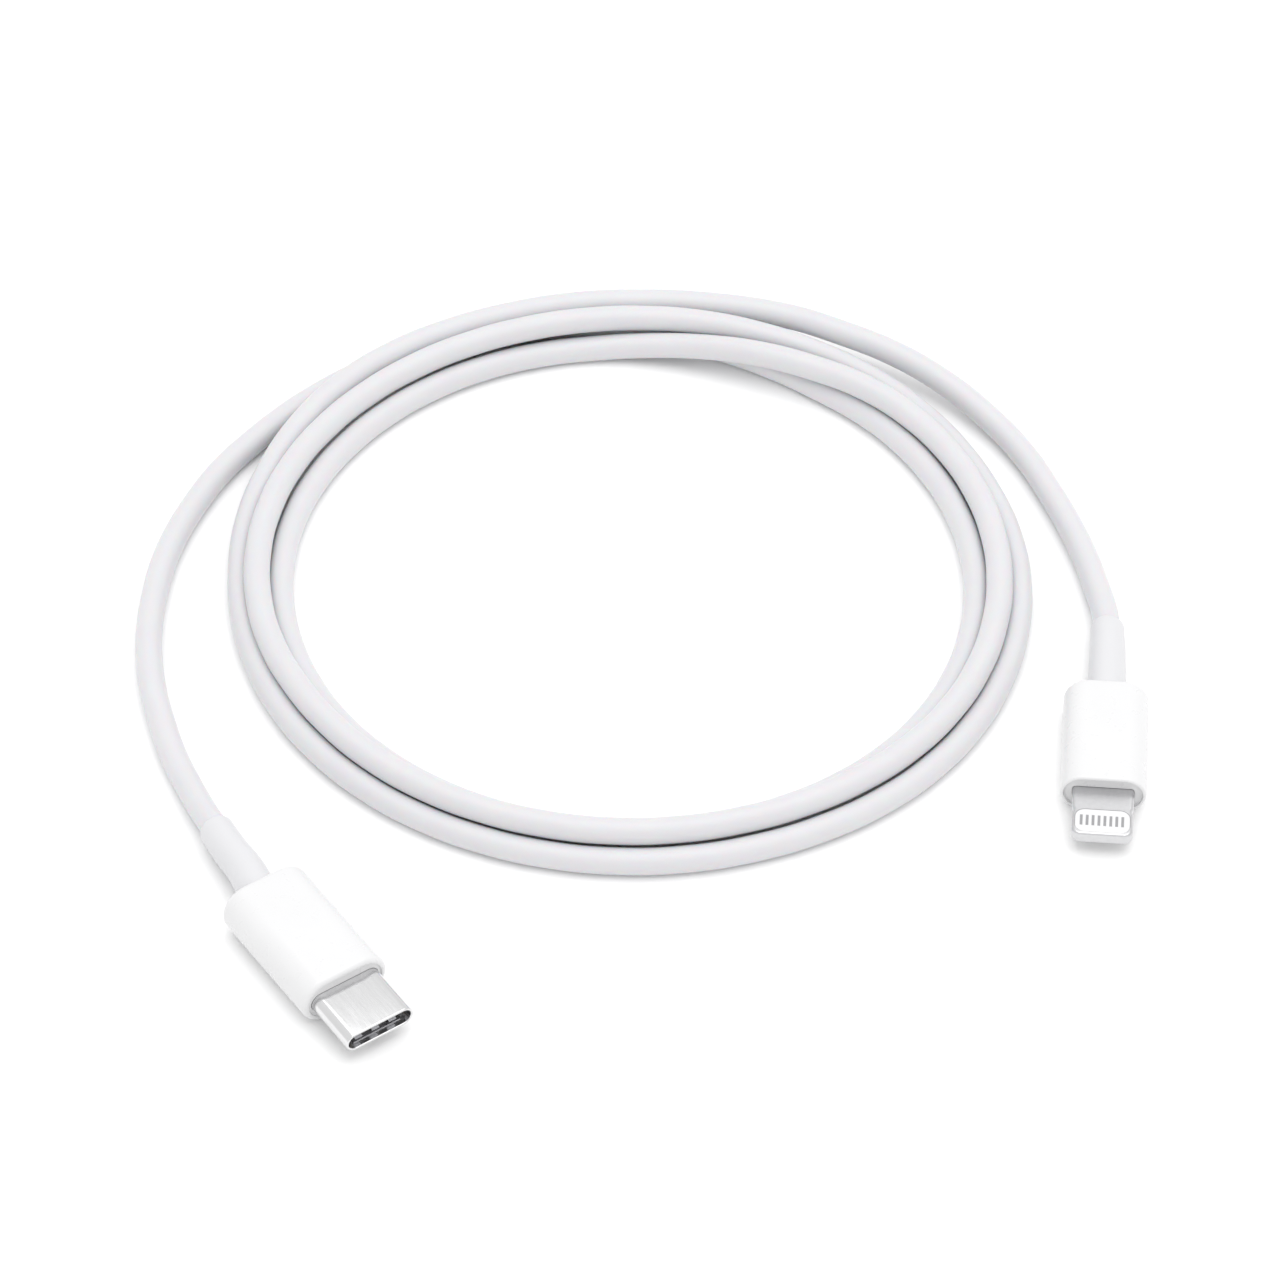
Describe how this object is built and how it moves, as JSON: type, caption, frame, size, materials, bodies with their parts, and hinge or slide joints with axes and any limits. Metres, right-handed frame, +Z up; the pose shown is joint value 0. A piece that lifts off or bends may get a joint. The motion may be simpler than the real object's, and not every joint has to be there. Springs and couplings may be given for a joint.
{
  "type": "charging cable",
  "caption": "Slim white charging cable, laid in a flat ring, with an oval metal-shelled plug at one end and a flat tab plug at the other, each with a tapered strain relief.",
  "frame": {"origin": "bottom centre of the box round the two plugs with their strain reliefs, on the surface the cable lies on", "axes": "+Z up from the surface; +X from the type-C plug to the tab plug; both plugs point roughly towards -Y and the ring of cord lies behind them, towards +Y"},
  "size_m": [0.1129, 0.1171, 0.006],
  "materials": {
    "white_jacket": "smooth, slightly soft to the touch, satin",
    "white_housing": "smooth white moulding, semi-gloss",
    "white_relief": "smooth satin moulding",
    "polished_steel": "polished, with fine drawing lines along it",
    "satin_steel": "satin, finely blasted",
    "spring_steel": "bare rolled strip",
    "shield_steel": "tinned sheet",
    "gold_contact": "gold plated",
    "grey_contact": "rhodium-grey plated",
    "grey_insulator": "glass-filled moulding",
    "white_insulator": "smooth moulding",
    "green_board": "solder-masked laminate",
    "black_chip": "moulded package",
    "tan_ceramic": "ceramic body",
    "ivory_mould": "low-pressure moulding",
    "copper": "bare copper",
    "red_wire": "wire insulation",
    "black_wire": "wire insulation",
    "green_wire": "wire insulation"
  },
  "bodies": {
    "cable": {"usb_housing": "white_housing", "usb_strain_relief": "white_relief", "usb_shell": "polished_steel", "usb_upper_carrier": "grey_insulator", "usb_lower_carrier": "grey_insulator", "usb_upper_contacts": "gold_contact", "usb_lower_contacts": "gold_contact", "usb_upper_ground_spring": "spring_steel", "usb_lower_ground_spring": "spring_steel", "usb_latch_bridge": "spring_steel", "usb_circuit_board": "green_board", "usb_marker_chip": "black_chip", "usb_capacitors": "tan_ceramic", "usb_upper_shield": "shield_steel", "usb_lower_shield": "shield_steel", "usb_inner_mould": "ivory_mould", "usb_crimp_ring": "copper", "usb_power_wire": "red_wire", "usb_ground_wire": "black_wire", "usb_data_wires": "green_wire", "tab_housing": "white_housing", "tab_strain_relief": "white_relief", "tab_frame": "satin_steel", "tab_contact_block": "white_insulator", "tab_upper_contacts": "grey_contact", "tab_lower_contacts": "grey_contact", "tab_circuit_board": "green_board", "tab_control_chip": "black_chip", "tab_switch_chip": "black_chip", "tab_capacitors": "tan_ceramic", "tab_upper_shield": "shield_steel", "tab_lower_shield": "shield_steel", "tab_inner_mould": "ivory_mould", "tab_crimp_ring": "copper", "tab_power_wire": "red_wire", "tab_ground_wire": "black_wire", "tab_data_wires": "green_wire", "cord_usb_tail": "white_jacket", "cord_ring": "white_jacket", "cord_tab_tail": "white_jacket"},
    "left_latch": {"usb_latch_left": "spring_steel"},
    "right_latch": {"usb_latch_right": "spring_steel"}
  },
  "joints": [
    {"name": "left_latch_flex", "type": "hinge", "parent": "cable", "child": "left_latch", "pos_m": [-0.03878, -0.02463, 0.003], "axis": [0, 0, -1], "range_deg": [0, 2.5], "stiffness_Nm_per_rad": 0.02},
    {"name": "right_latch_flex", "type": "hinge", "parent": "cable", "child": "right_latch", "pos_m": [-0.03328, -0.02077, 0.003], "axis": [0, 0, 1], "range_deg": [0, 2.5], "stiffness_Nm_per_rad": 0.02}
  ]
}
